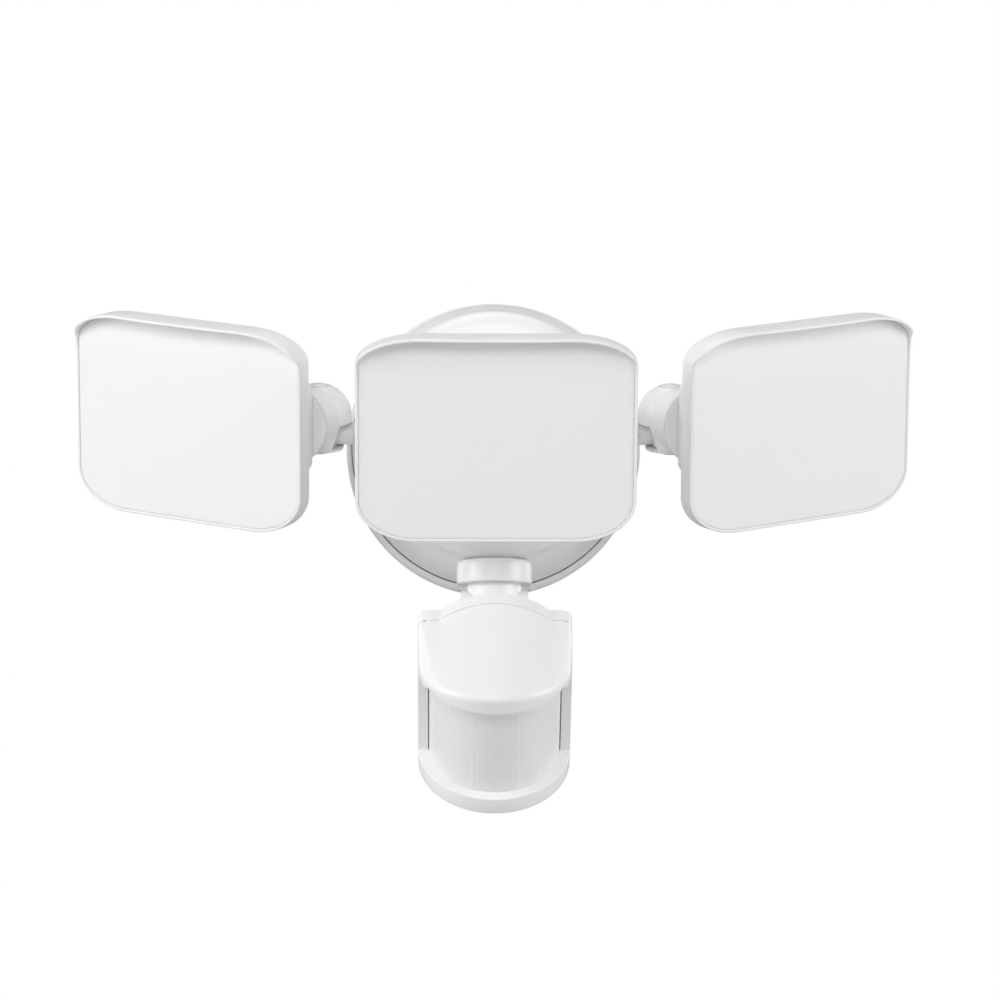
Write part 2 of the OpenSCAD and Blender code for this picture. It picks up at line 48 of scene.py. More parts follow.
# Lamp heads: x across, -y forward, z up
HEAD_W = 119.4 * MM
HEAD_H = 89.2 * MM
HEAD_T = 7.5 * MM
HEAD_YAW = math.radians(32.7)
CORNER_TOP = (28 * MM, 13 * MM)
CORNER_BOTTOM = (26 * MM, 18 * MM)
BACK_ROUND = 1.8 * MM
RIM_W = 1.3 * MM
RIM_LIP = 0.4 * MM
RIM_BACK = 1.5 * MM
RIM_INSIDE = 1 * MM
RIM_ROUND_OUT = 0.6 * MM
RIM_ROUND_IN = 0.45 * MM
POCKET = 5.5 * MM
VISOR_LEN = 8.6 * MM
VISOR_END = 3.5 * MM
VISOR_DROP = 11 * MM
VISOR_FADE = 8 * MM
VISOR_CURVE = 2.4
PAD = (104 * MM, 41 * MM, 3 * MM)
PAD_SUNK = 0.8 * MM
PAD_ROUND = 1 * MM
PAD_CORNER = 5 * MM
PAD_LIFT = 3.3 * MM
PAD_INNER = 59 * MM

# Diffusers
WINDOW_BACK = 1.8 * MM
WINDOW_EDGE = RIM_W + 0.05 * MM
WINDOW_ROUND = 0.35 * MM
WINDOW_STEPS = (1.5, 2.5, 4, 5.5, 7, 8.5, 10)
WINDOW_CROWN = 0.8 * MM

# Knuckles
NECK_BACK = 29 * MM
KNUCKLE_IN = 49.3 * MM
BALL_LIFT = 7.8 * MM
BALL_R = 14.4 * MM
CAP_R = 4.4 * MM
CAP_DEEP = 2.6 * MM
CAP_INSET = 0.15 * MM
CAP_PROUD = 0.05 * MM

# Canopy: depths are measured from the wall
BASE_R = 65.2 * MM
BASE_ROUND = 0.5 * MM
BASE_FLOOR = 3 * MM
BASE_WALL_RISE = 3 * MM
RIM_DROP = 0.1 * MM
COVER_R = 62.6 * MM
BASE_DEPTH = 13.2 * MM
CANOPY_DEPTH = 60 * MM
FRONT_R = 47 * MM
COVER_BOW = 7.6 * MM
COVER_WALL = 2.4 * MM
COVER_SIDE_WALL = 3 * MM
COVER_FRONT_IN = 2 * MM
EDGE_ROUND = 0.3 * MM
SKIRT = 3.6 * MM
SKIRT_DEEP = 3 * MM
WALL_DEEP = 5.5 * MM
ROLL = 10 * MM
DRUM_R = 16.3 * MM
DRUM_Z = -64.6 * MM
DRUM_TOP = -54.4 * MM
DRUM_ROUND_TOP = 2.2 * MM
DRUM_ROUND_LOW = 0.6 * MM
TAB_DEPTH = 8.5 * MM
TAB_RAMP = 2 * MM
TAB_PROUD = 0.12 * MM
PART_GAP = 1.2 * MM
RIM_START = 7.5 * MM
GROOVE = 1 * MM
# Dark ring in the canopy's parting gap: painted shade for the gap's shadow
GAP_SHADE_OUT = 0.4 * MM
GAP_SHADE_IN = 3 * MM
GAP_SHADE_LAP = 0.05 * MM
GAP_SHADE_ROUND = 0.25 * MM
# Thin dark line round the drum's tail: painted shade for the step's shadow
TAB_SHADE_LINE = 0.55 * MM
TAB_SHADE_LINE_T = 2 * MM
TAB_SHADE_LINE_PROUD = 0.06 * MM

# Motion sensor, in its own frame: x across, -y forward, z up
SENSOR_R = 33 * MM
SENSOR_TILT = math.radians(47.4)
PLAN_Y = 17.2 * MM
REAR_T = 5.2 * MM
REAR_BACK = 2.2 * MM
CHIN_H = 9 * MM
BROW_H = 58.6 * MM
BROW_TOP = 66.6 * MM
BROW_FALL = 7.4 * MM
ARCH_R = 33.6 * MM
ARCH_Z = 47.6 * MM
SHOULDER_H = 71.7 * MM
SHOULDER_ROUND = 4 * MM
HOOD_RUN = 1.25
HOOD_ROUND = 1.7 * MM
HOOD_FOOT = 0.3 * MM
HOOD_SHARES = (1, 0.997, 0.99, 0.98, 0.965, 0.945, 0.92, 0.86, 0.78, 0.68, 0.56, 0.44, 0.32, 0.2, 0.1, 0.03)
BROW_SIDE_DROP = 3.4 * MM
BROW_SIDE_RAMP = 3 * MM
CHIN_ROUND = 1.4 * MM
CHIN_LIP = 0.5 * MM
BACK_EDGE = 1.2 * MM
BACK_STEP = 0.5 * MM
BACK_INSET = 0.1 * MM
BACK_SILL = 0.3 * MM
PIVOT_BACK = 20 * MM
PIVOT_H = 53 * MM
TONGUE_R = 7.5 * MM
TONGUE_W = 12 * MM
LENS_R = 28.3 * MM
LENS_STRIP = 9.4 * MM
LENS_WALL = 1.2 * MM
LENS_TAIL = 1 * MM
LENS_LAP = 0.4 * MM
CHEEK_IN = 28.7 * MM
CHEEK_FRONT = 19 * MM
CHEEK_LEAD = 0.3 * MM
CHEEK_INSET = 0.01 * MM
CHEEK_SINK = 2 * MM
CHEEK_TOP = 0.2 * MM
CHEEK_UNDER = 2.2 * MM
CORE_LAP = 0.5 * MM

SIDES = {"left": -1, "right": 1}

joints = {j["name"]: j for j in frame["joints"]}


# ---------------------------------------------------------------- places taken from the frame
def turn(axis, angle):
    return Matrix.Rotation(angle, 4, axis)


def pin_tilt():
    """How far the heads lean down at rest, read from the side knuckles' pins."""
    axis = joints["left_knuckle_turn"]["axis"]
    return math.atan2(-axis[1], axis[2])


def ball_frame(side):
    """The middle of a side knuckle's ball, turned to face as its head does."""
    pin = Matrix.Translation(joints[side + "_knuckle_turn"]["pos_m"]) @ turn("X", pin_tilt())
    return pin @ Matrix.Translation((0, 0, BALL_LIFT)) @ turn("Z", SIDES[side] * HEAD_YAW)


def head_frame(side):
    """The place of a head: its diffuser's face at y = 0, looking along -y."""
    if side == "centre":
        pin = Matrix.Translation(joints["centre_knuckle_tilt"]["pos_m"])
        return pin @ turn("X", pin_tilt()) @ Matrix.Translation((0, -NECK_BACK, 0))
    return ball_frame(side) @ Matrix.Translation((SIDES[side] * KNUCKLE_IN, -NECK_BACK, -PAD_LIFT))


def sensor_frame():
    pin = Matrix.Translation(joints["sensor_tilt"]["pos_m"])
    return pin @ turn("X", SENSOR_TILT) @ Matrix.Translation((0, -PIVOT_BACK, -PIVOT_H))


# ---------------------------------------------------------------- camera, light and floor
CAM_ELEVATION = math.radians(-8)
CAM_AZIMUTH = math.radians(-0.71)
CAM_DISTANCE = 1.965
CAM_LENS = 158.4
CAM_AIM = Vector((0.00306, 0, -0.0219))
CAM_SENSOR = 36
WORLD_FILL = 0.25
WORLD_SEEN = 1.0
HIGH_AIM = (0, -0.05, 0)
LOW_AIM = (0, -0.05, -0.02)

# Each light's name, place, aim, width and height, and watts
SOFTBOXES = [
    ("key", (-2.1, -1.0, 0.5), LOW_AIM, (1.5, 1.3), 33),
    ("fill", (2.1, -0.9, 0.4), LOW_AIM, (1.4, 1.2), 26),
    ("top", (-0.2, 0.1, 1.9), HIGH_AIM, (1.8, 1.2), 11),
    ("front", (-0.2, -2.2, 0.6), HIGH_AIM, (0.9, 0.7), 12),
    ("back_left", (-1.5, 1.1, 0.5), LOW_AIM, (0.9, 0.9), 6),
    ("back_right", (1.5, 1.1, 0.5), LOW_AIM, (0.9, 0.9), 6),
]
FLOOR_SIZE = 6
FLOOR_Z = -0.9


def make_camera():
    data = bpy.data.cameras.new("camera")
    data.sensor_width = CAM_SENSOR
    data.lens = CAM_LENS
    camera = bpy.data.objects.new("camera", data)
    bpy.context.scene.collection.objects.link(camera)
    level = math.cos(CAM_ELEVATION)
    back = Vector((
        math.sin(CAM_AZIMUTH) * level,
        -math.cos(CAM_AZIMUTH) * level,
        math.sin(CAM_ELEVATION),
    ))
    camera.location = back * CAM_DISTANCE
    camera.rotation_mode = "QUATERNION"
    camera.rotation_quaternion = (CAM_AIM - camera.location).to_track_quat("-Z", "Y")
    bpy.context.scene.camera = camera


def softbox(name, place, aim, size, watts):
    data = bpy.data.lights.new(name, "AREA")
    data.shape = "RECTANGLE"
    data.size, data.size_y = size
    data.energy = watts
    light = bpy.data.objects.new(name, data)
    bpy.context.scene.collection.objects.link(light)
    light.location = place
    light.rotation_mode = "QUATERNION"
    light.rotation_quaternion = (Vector(aim) - Vector(place)).to_track_quat("-Z", "Y")


def make_studio():
    world = bpy.data.worlds.new("studio")
    bpy.context.scene.world = world
    world.use_nodes = True
    tree = world.node_tree
    tree.nodes.clear()
    out = tree.nodes.new("ShaderNodeOutputWorld")
    mix = tree.nodes.new("ShaderNodeMixShader")
    path = tree.nodes.new("ShaderNodeLightPath")
    fill = tree.nodes.new("ShaderNodeBackground")
    seen = tree.nodes.new("ShaderNodeBackground")
    fill.inputs["Color"].default_value = (1, 1, 1, 1)
    fill.inputs["Strength"].default_value = WORLD_FILL
    seen.inputs["Color"].default_value = (1, 1, 1, 1)
    seen.inputs["Strength"].default_value = WORLD_SEEN
    tree.links.new(path.outputs["Is Camera Ray"], mix.inputs[0])
    tree.links.new(fill.outputs[0], mix.inputs[1])
    tree.links.new(seen.outputs[0], mix.inputs[2])
    tree.links.new(mix.outputs[0], out.inputs[0])
    for light in SOFTBOXES:
        softbox(*light)
    bpy.context.scene.view_settings.view_transform = "Standard"


def make_floor():
    bm = bmesh.new()
    bmesh.ops.create_grid(bm, x_segments=1, y_segments=1, size=FLOOR_SIZE)
    bmesh.ops.translate(bm, verts=bm.verts, vec=(0, 0, FLOOR_Z))
    mesh = bpy.data.meshes.new("floor")
    bm.to_mesh(mesh)
    bm.free()
    floor = bpy.data.objects.new("floor", mesh)
    bpy.context.scene.collection.objects.link(floor)
    floor.data.materials.append(finishes["floor"])


# ---------------------------------------------------------------- finishes
NOISE_LOW = 0.3
NOISE_HIGH = 0.7


def node_kit(name):
    material = bpy.data.materials.new(name)
    material.use_nodes = True
    tree = material.node_tree
    tree.nodes.clear()
    out = tree.nodes.new("ShaderNodeOutputMaterial")
    shader = tree.nodes.new("ShaderNodeBsdfPrincipled")
    tree.links.new(shader.outputs[0], out.inputs[0])
    place = tree.nodes.new("ShaderNodeTexCoord")
    return material, tree, shader, place


def noise(tree, place, scale, detail):
    node = tree.nodes.new("ShaderNodeTexNoise")
    node.inputs["Scale"].default_value = scale
    node.inputs["Detail"].default_value = detail
    tree.links.new(place.outputs["Object"], node.inputs["Vector"])
    return node


def spread(tree, source, low, high):
    """Maps a 0 to 1 pattern to a low to high value."""
    node = tree.nodes.new("ShaderNodeMapRange")
    node.inputs["From Min"].default_value = NOISE_LOW
    node.inputs["From Max"].default_value = NOISE_HIGH
    node.inputs["To Min"].default_value = low
    node.inputs["To Max"].default_value = high
    tree.links.new(source, node.inputs["Value"])
    return node.outputs["Result"]


def tint(tree, source, colour, share):
    """A colour that drifts by a share of itself with a 0 to 1 pattern."""
    ramp = tree.nodes.new("ShaderNodeValToRGB")
    low = [c * (1 - share) for c in colour]
    high = [min(1, c * (1 + share)) for c in colour]
    ramp.color_ramp.elements[0].position = NOISE_LOW
    ramp.color_ramp.elements[1].position = NOISE_HIGH
    ramp.color_ramp.elements[0].color = (*low, 1)
    ramp.color_ramp.elements[1].color = (*high, 1)
    tree.links.new(source, ramp.inputs["Fac"])
    return ramp.outputs["Color"]


def bumped(tree, shader, heights, edge=0):
    """Stacks (pattern, distance in metres) bumps on a shader, over softened edges if asked."""
    normal = None
    if edge:
        soft = tree.nodes.new("ShaderNodeBevel")
        soft.inputs["Radius"].default_value = edge
        normal = soft.outputs["Normal"]
    for height, distance in heights:
        bump = tree.nodes.new("ShaderNodeBump")
        bump.inputs["Strength"].default_value = 1
        bump.inputs["Distance"].default_value = distance
        tree.links.new(height, bump.inputs["Height"])
        if normal:
            tree.links.new(normal, bump.inputs["Normal"])
        normal = bump.outputs["Normal"]
    tree.links.new(normal, shader.inputs["Normal"])


def moulded(name, colour, roughness, grain=2600, depth=0.012, mottle=0.012, sheen=0.0, edge=0):
    """Moulded plastic or paint: a fine skin grain over a slow drift of tone and gloss."""
    material, tree, shader, place = node_kit(name)
    slow = noise(tree, place, 22, 4)
    fine = noise(tree, place, grain, 2)
    smears = noise(tree, place, 75, 5)
    tree.links.new(tint(tree, slow.outputs["Fac"], colour, mottle), shader.inputs["Base Color"])
    rough = spread(tree, smears.outputs["Fac"], roughness * 0.88, roughness * 1.14)
    tree.links.new(rough, shader.inputs["Roughness"])
    bumped(tree, shader, [(fine.outputs["Fac"], depth * MM), (slow.outputs["Fac"], 0.08 * MM)], edge)
    if sheen:
        shader.inputs["Coat Weight"].default_value = sheen
        shader.inputs["Coat Roughness"].default_value = 0.3
    return material


def metal(name, colour, roughness):
    """Plated or turned metal with fine tool marks and dull patches."""
    material, tree, shader, place = node_kit(name)
    patches = noise(tree, place, 260, 5)
    marks = noise(tree, place, 5200, 2)
    shader.inputs["Metallic"].default_value = 1
    tree.links.new(tint(tree, patches.outputs["Fac"], colour, 0.09), shader.inputs["Base Color"])
    rough = spread(tree, patches.outputs["Fac"], roughness * 0.75, roughness * 1.35)
    tree.links.new(rough, shader.inputs["Roughness"])
    bumped(tree, shader, [(marks.outputs["Fac"], 0.01 * MM)])
    return material


def milky(name, colour, roughness, depth, pattern=None):
    """Frosted lamp plastic that lets a little light in under its skin."""
    material, tree, shader, place = node_kit(name)
    slow = noise(tree, place, 14, 3)
    frost = noise(tree, place, 4200, 2)
    shader.inputs["Subsurface Weight"].default_value = 0.35
    shader.inputs["Subsurface Radius"].default_value = (0.6, 0.6, 0.6)
    shader.inputs["Subsurface Scale"].default_value = 3 * MM
    tree.links.new(tint(tree, slow.outputs["Fac"], colour, 0.006), shader.inputs["Base Color"])
    rough = spread(tree, frost.outputs["Fac"], roughness * 0.9, roughness * 1.1)
    tree.links.new(rough, shader.inputs["Roughness"])
    heights = [(frost.outputs["Fac"], depth * MM)]
    if pattern:
        heights.append((pattern(tree, place), 0.1 * MM))
    bumped(tree, shader, heights)
    return material


def lens_strips(tree, place):
    """Fine upright lines that part a lens into its strips."""
    split = tree.nodes.new("ShaderNodeSeparateXYZ")
    tree.links.new(place.outputs["Object"], split.inputs[0])
    value = split.outputs["X"]
    steps = (("MULTIPLY", 1 / LENS_STRIP), ("FRACT", 0), ("SUBTRACT", 0.5), ("ABSOLUTE", 0))
    for operation, amount in steps:
        step = tree.nodes.new("ShaderNodeMath")
        step.operation = operation
        step.inputs[1].default_value = amount
        tree.links.new(value, step.inputs[0])
        value = step.outputs[0]
    line = tree.nodes.new("ShaderNodeMapRange")
    line.interpolation_type = "SMOOTHSTEP"
    line.inputs["From Min"].default_value = 0.38
    line.inputs["From Max"].default_value = 0.5
    tree.links.new(value, line.inputs["Value"])
    return line.outputs["Result"]


def make_finishes():
    return {
        "floor": moulded("pale_floor", (0.62, 0.62, 0.62), 0.7, grain=900, depth=0.02),
        "shell": moulded("white_shell", (0.88, 0.88, 0.875), 0.36, sheen=0.12),
        "joint_shell": moulded("white_joint", (0.88, 0.88, 0.875), 0.36, sheen=0.12, edge=0.7 * MM),
        # Painted light: the base is the same white plastic as the shell, painted a touch lighter to stand in for
        # the light falling on its rim.
        "base_shell": moulded("white_base_painted_lighter", (0.9, 0.9, 0.895), 0.4, sheen=0.08),
        "diffuser": milky("frosted_diffuser", (0.9, 0.9, 0.895), 0.5, 0.006),
        "lens": milky("milky_lens", (0.86, 0.86, 0.85), 0.36, 0.006, lens_strips),
        # Dark rubber; the canopy's gap ring and the line round the drum's tail use it as painted shade for the
        # shadows in those gaps.
        "rubber": moulded("rubber_painted_gap_shade", (0.11, 0.11, 0.115), 0.75, grain=1800, depth=0.03, mottle=0.06),
        "steel": metal("zinc_plate", (0.66, 0.67, 0.69), 0.34),
        "board": moulded("green_board", (0.03, 0.16, 0.07), 0.4, grain=900, depth=0.02, mottle=0.1),
        "lamp_board": moulded("white_board", (0.8, 0.8, 0.79), 0.45, grain=900, depth=0.02, mottle=0.03),
        "lamps": moulded("phosphor", (0.85, 0.62, 0.12), 0.5, grain=3000, depth=0.02, mottle=0.05),
        "winding": metal("copper_winding", (0.62, 0.3, 0.14), 0.4),
        "dark_parts": moulded("black_plastic", (0.02, 0.02, 0.022), 0.45, mottle=0.1),
        "grey_parts": moulded("grey_plastic", (0.2, 0.2, 0.21), 0.5, mottle=0.06),
        "terminal": moulded("ivory_plastic", (0.7, 0.68, 0.6), 0.5, mottle=0.04),
        "sensor_can": metal("steel_can", (0.7, 0.7, 0.71), 0.25),
        "photocell": moulded("cell_face", (0.6, 0.22, 0.1), 0.5, mottle=0.2),
    }


finishes = make_finishes()


# ---------------------------------------------------------------- mesh helpers
def ellipse_arc(cx, cz, a, b, start, steps=14):
    """A quarter of an ellipse, from the angle start on."""
    turns = [start + math.pi / 2 * i / steps for i in range(steps + 1)]
    return [(cx + a * math.cos(t), cz + b * math.sin(t)) for t in turns]


def straight(a, b, steps):
    """The points between two points, ends left out."""
    return [(a[0] + (b[0] - a[0]) * i / steps, a[1] + (b[1] - a[1]) * i / steps) for i in range(1, steps)]


def rounded_outline(w, h, top, bottom, steps=14, sides=8):
    """A closed outline whose corners are quarter ellipses, from the right side on."""
    quarter = math.pi / 2
    corners = [
        ellipse_arc(w - top[0], h - top[1], top[0], top[1], 0, steps),
        ellipse_arc(-w + top[0], h - top[1], top[0], top[1], quarter, steps),
        ellipse_arc(-w + bottom[0], -h + bottom[1], bottom[0], bottom[1], 2 * quarter, steps),
        ellipse_arc(w - bottom[0], -h + bottom[1], bottom[0], bottom[1], 3 * quarter, steps),
    ]
    points = []
    for i, corner in enumerate(corners):
        following = corners[(i + 1) % len(corners)]
        points += corner + straight(corner[-1], following[0], sides)
    return points


def head_outline(inset):
    """A head's outline in x and z, pulled in all round."""
    return rounded_outline(
        HEAD_W / 2 - inset, HEAD_H / 2 - inset,
        (CORNER_TOP[0] - inset, CORNER_TOP[1] - inset), (CORNER_BOTTOM[0] - inset, CORNER_BOTTOM[1] - inset),
    )


def stack(bm, rings):
    """Extrudes a face through a row of rings with as many points each, into a closed solid."""
    ring = [bm.verts.new(p) for p in rings[0]]
    face = bm.faces.new(ring)
    for points in rings[1:]:
        made = bmesh.ops.extrude_face_region(bm, geom=[face])["geom"]
        end = next(g for g in made if isinstance(g, bmesh.types.BMFace))
        if face.is_valid and face is not end and points is not rings[1]:
            bmesh.ops.delete(bm, geom=[face], context="FACES_ONLY")
        fresh = set(end.verts)
        ring = [next(e.other_vert(v) for e in v.link_edges if e.other_vert(v) in fresh) for v in ring]
        for vert, point in zip(ring, points):
            vert.co = point
        face = end


def curl(radius, steps, flip=False):
    """A quarter round as (inset, rise) pairs, from the far face out to the side."""
    pairs = []
    for i in range(steps + 1):
        t = math.pi / 2 * i / steps
        pairs.append((radius * (1 - math.sin(t)), radius * (1 - math.cos(t))))
    return pairs[::-1] if flip else pairs


def lathe(bm, profile, axis, centre, steps=96):
    """Spins an open or closed chain of points about an axis."""
    verts = [bm.verts.new(p) for p in profile]
    edges = [bm.edges.new(pair) for pair in zip(verts, verts[1:])]
    bmesh.ops.spin(
        bm, geom=verts + edges, cent=centre, axis=axis, dvec=(0, 0, 0), angle=2 * math.pi,
        steps=steps, use_merge=True, use_duplicate=False,
    )
    bmesh.ops.remove_doubles(bm, verts=bm.verts, dist=1e-6)


def smooth_step(x):
    x = max(0, min(1, x))
    return x * x * (3 - 2 * x)


def finish_piece(name, bm, place, body, slot, nodes):
    """Turns a bmesh into a piece that rides on a body and stands for CAD nodes."""
    bmesh.ops.recalc_face_normals(bm, faces=bm.faces)
    bmesh.ops.transform(bm, matrix=place, verts=bm.verts)
    for face in bm.faces:
        face.smooth = True
    for edge in bm.edges:
        if len(edge.link_faces) == 2 and edge.calc_face_angle(0) > SHARP_ANGLE:
            edge.smooth = False
    mesh = bpy.data.meshes.new(name)
    bm.to_mesh(mesh)
    bm.free()
    piece = bpy.data.objects.new(name, mesh)
    bpy.context.scene.collection.objects.link(piece)
    mesh.materials.append(finishes[slot])
    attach(piece, body)
    if nodes:
        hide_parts(*nodes)


# ---------------------------------------------------------------- lamp heads
def visor_reach(x, z):
    """How far the rim stands forward of the diffuser: a visor over the top, fading down the sides."""
    across = min(1, abs(x) * 2 / HEAD_W)
    reach = VISOR_END + (VISOR_LEN - VISOR_END) * (1 - across ** VISOR_CURVE)
    return reach * smooth_step((z - (HEAD_H / 2 - VISOR_DROP - VISOR_FADE / 2)) / VISOR_FADE)


def shell_rings():
    """Rings of a head's tray: over its rounded back, along its sides, round the rim and into the pocket."""
    rings = []
    for inset, rise in curl(BACK_ROUND, 5):
        rings.append([(x, HEAD_T - rise, z) for x, z in head_outline(inset)])
    for y in (HEAD_T / 2, RIM_BACK):
        rings.append([(x, y, z) for x, z in head_outline(0)])
    outer = [(inset, rise - RIM_LIP) for inset, rise in curl(RIM_ROUND_OUT, 4, flip=True)]
    inner = [(RIM_W - inset, rise - RIM_LIP) for inset, rise in curl(RIM_ROUND_IN, 4)]
    for inset, y in outer + inner:
        rings.append([(x, y - visor_reach(x, z), z) for x, z in head_outline(inset)])
    for y in (RIM_INSIDE, POCKET):
        rings.append([(x, y, z) for x, z in head_outline(RIM_W)])
    return rings


def pad_rings(inner):
    """Rings of the raised pad on a head's back, longer towards the knuckle at inner (-1, 0 or 1)."""
    rings = []
    for inset, rise in [(0, PAD[2] + PAD_SUNK)] + curl(PAD_ROUND, 3, flip=True):
        half_w, half_h = PAD[0] / 2 - inset, PAD[1] / 2 - inset
        corner = (PAD_CORNER - inset, PAD_CORNER - inset)
        wide = (PAD_INNER - inset) / half_w
        rings.append([
            (x * wide if x * inner > 0 else x, HEAD_T + PAD[2] - rise, z + PAD_LIFT)
            for x, z in rounded_outline(half_w, half_h, corner, corner, 6, 1)
        ])
    return rings


def lamp_housing(side):
    bm = bmesh.new()
    stack(bm, shell_rings())
    stack(bm, pad_rings(-SIDES.get(side, 0)))
    place = head_frame(side)
    finish_piece(side + "_lamp_shell", bm, place, side + "_head", "shell", [side + "_housing"])


def lamp_diffuser(side):
    bm = bmesh.new()
    rings = [[(x, WINDOW_BACK, z) for x, z in head_outline(WINDOW_EDGE)]]
    steps = [(inset + WINDOW_EDGE, y) for inset, y in curl(WINDOW_ROUND, 4, flip=True)]
    steps += [(RIM_W + extra * MM, 0) for extra in WINDOW_STEPS]
    for inset, y in steps:
        ring = []
        for x, z in head_outline(inset):
            crown = max(0, 1 - (2 * x / HEAD_W) ** 2) * max(0, 1 - (2 * z / HEAD_H) ** 2)
            ring.append((x, y - WINDOW_CROWN * crown, z))
        rings.append(ring)
    stack(bm, rings)
    place = head_frame(side)
    finish_piece(side + "_lamp_window", bm, place, side + "_head", "diffuser", [side + "_diffuser"])


def knuckle_cap(side):
    """The plug that closes a side knuckle over its hinge nut, flush with the ball."""
    bm = bmesh.new()
    profile = [(0, 0, BALL_R - CAP_DEEP), (CAP_R, 0, BALL_R - CAP_DEEP)]
    for i in range(9):
        r = (CAP_R - CAP_INSET) * (1 - i / 8)
        profile.append((r, 0, math.sqrt((BALL_R + CAP_PROUD) ** 2 - r * r)))
    lathe(bm, profile, (0, 0, 1), (0, 0, 0), 48)
    finish_piece(side + "_knuckle_cap", bm, ball_frame(side), side + "_head", "shell", [side + "_hinge_nut"])


# ---------------------------------------------------------------- canopy
def base_radius(depth):
    """Radius of the base's rounded rim, and of the cover's edge ahead of it, at a distance from the wall."""
    share = max(0, min(1, (depth - RIM_START) / (BASE_DEPTH - RIM_START)))
    return COVER_R + (BASE_R - COVER_R) * math.sqrt(1 - share ** 2)


def cover_profile():
    """Half the cover's section as (radius, depth): skirt, bowed side, rolled shoulder, front and inside."""
    lip = BASE_DEPTH + PART_GAP / 2
    side = CANOPY_DEPTH - ROLL - lip
    shoulder = COVER_R - COVER_BOW - FRONT_R
    skirt = COVER_R - SKIRT
    points = [(skirt, lip), (COVER_R - EDGE_ROUND, lip), (COVER_R, lip + EDGE_ROUND)]
    for i in range(1, 13):
        t = i / 12
        points.append((COVER_R - COVER_BOW * t * t, lip + side * t))
    for i in range(1, 11):
        t = math.pi / 2 * i / 10
        points.append((FRONT_R + shoulder * math.cos(t), CANOPY_DEPTH - ROLL + ROLL * math.sin(t)))
    inside = CANOPY_DEPTH - COVER_WALL
    points += [(0, CANOPY_DEPTH), (0, inside), (FRONT_R - COVER_FRONT_IN, inside)]
    points += [(COVER_R - COVER_BOW - COVER_SIDE_WALL, CANOPY_DEPTH - ROLL)]
    points += [(skirt, lip + SKIRT_DEEP), (skirt, lip)]
    return points


def drum_plan(r, centre_y, back_y):
    """The drum seen from below: a half round front with straight sides that run back."""
    arc = [
        (r * math.cos(math.pi + math.pi * i / 48), centre_y + r * math.sin(math.pi + math.pi * i / 48))
        for i in range(49)
    ]
    side = [(r, centre_y + (back_y - centre_y) * i / 10) for i in range(1, 11)]
    return arc + side + [(-x, y) for x, y in reversed(side)]


def drum_rings():
    """Rings of the sensor's drum, whose tail rises to lie on the base's rim."""
    centre_y = joints["sensor_pan"]["pos_m"][1]
    ramp_end = -BASE_DEPTH - PART_GAP / 2 - TAB_RAMP
    height = DRUM_TOP - DRUM_Z
    steps = [(inset, height - rise) for inset, rise in curl(DRUM_ROUND_TOP, 5)]
    rings = []
    for inset, rise in steps + curl(DRUM_ROUND_LOW, 4, flip=True):
        ring = []
        for x, y in drum_plan(DRUM_R - inset, centre_y, -TAB_DEPTH - inset):
            share = smooth_step((y - centre_y) / (ramp_end - centre_y))
            skin = -math.sqrt(base_radius(-y) ** 2 - x * x) - TAB_PROUD
            ring.append((x, y, DRUM_Z + (skin - DRUM_Z) * share + rise))
        rings.append(ring)
    return rings


def turned(bm, profile):
    """Spins a (radius, depth) section about the canopy's axis."""
    lathe(bm, [(r, -depth, 0) for r, depth in profile], (0, 1, 0), (0, 0, 0), 128)


def canopy_shell():
    bm = bmesh.new()
    turned(bm, cover_profile())
    stack(bm, drum_rings())
    finish_piece("canopy_shell", bm, Matrix(), "canopy", "shell", ["canopy_cover"])


def canopy_base():
    """The wall plate: a floor, a rounded rim with the groove that holds the dark painted-shade ring, and a low
    inner wall.
    """
    groove = BASE_DEPTH - GROOVE
    rim = COVER_R + GAP_SHADE_OUT
    skirt = COVER_R - SKIRT
    wall = COVER_R - WALL_DEEP
    profile = [(0, 0), (BASE_R - BASE_ROUND, 0), (BASE_R, BASE_ROUND)]
    for i in range(11):
        depth = RIM_START + (BASE_DEPTH - RIM_START) * math.sin(math.pi / 2 * i / 10)
        if base_radius(depth) > rim:
            profile.append((base_radius(depth), depth))
    rise = groove + BASE_WALL_RISE
    profile += [(rim, BASE_DEPTH - RIM_DROP), (rim, groove), (skirt, groove), (skirt, rise)]
    profile += [(wall, rise), (wall, BASE_FLOOR), (0, BASE_FLOOR)]
    bm = bmesh.new()
    turned(bm, profile)
    finish_piece("canopy_back", bm, Matrix(), "canopy", "base_shell", ["mount_base"])


def tab_outline():
    """Two rings of a thin dark line round the drum's tail, lying on the base's rim: painted shade for the shadow
    of the step there.
    """
    half, back = DRUM_R + TAB_SHADE_LINE, TAB_DEPTH - TAB_SHADE_LINE
    across = [half * (i / 10 - 1) for i in range(21)]
    plan = [(x, -back) for x in across] + [(x, -BASE_DEPTH) for x in reversed(across)]
    skin = [(x, y, -math.sqrt(base_radius(-y) ** 2 - x * x)) for x, y in plan]
    return [
        [(x, y, z + TAB_SHADE_LINE_T) for x, y, z in skin],
        [(x, y, z - TAB_SHADE_LINE_PROUD) for x, y, z in skin],
    ]


def canopy_gap_shade():
    """Painted shade: a dark ring in the gap between the base and its cover, and a thin dark line round the drum's
    tail, standing in for the shadows there.
    """
    low = BASE_DEPTH - GROOVE - GAP_SHADE_LAP
    high = BASE_DEPTH + PART_GAP / 2 + GAP_SHADE_LAP
    rim = COVER_R + GAP_SHADE_OUT - GAP_SHADE_LAP
    inner = COVER_R - GAP_SHADE_IN
    bm = bmesh.new()
    turned(bm, [
        (inner, low), (rim, low), (rim, high - GAP_SHADE_ROUND),
        (rim - GAP_SHADE_ROUND, high), (inner, high), (inner, low),
    ])
    stack(bm, tab_outline())
    finish_piece("canopy_gap_shade", bm, Matrix(), "canopy", "rubber", [])


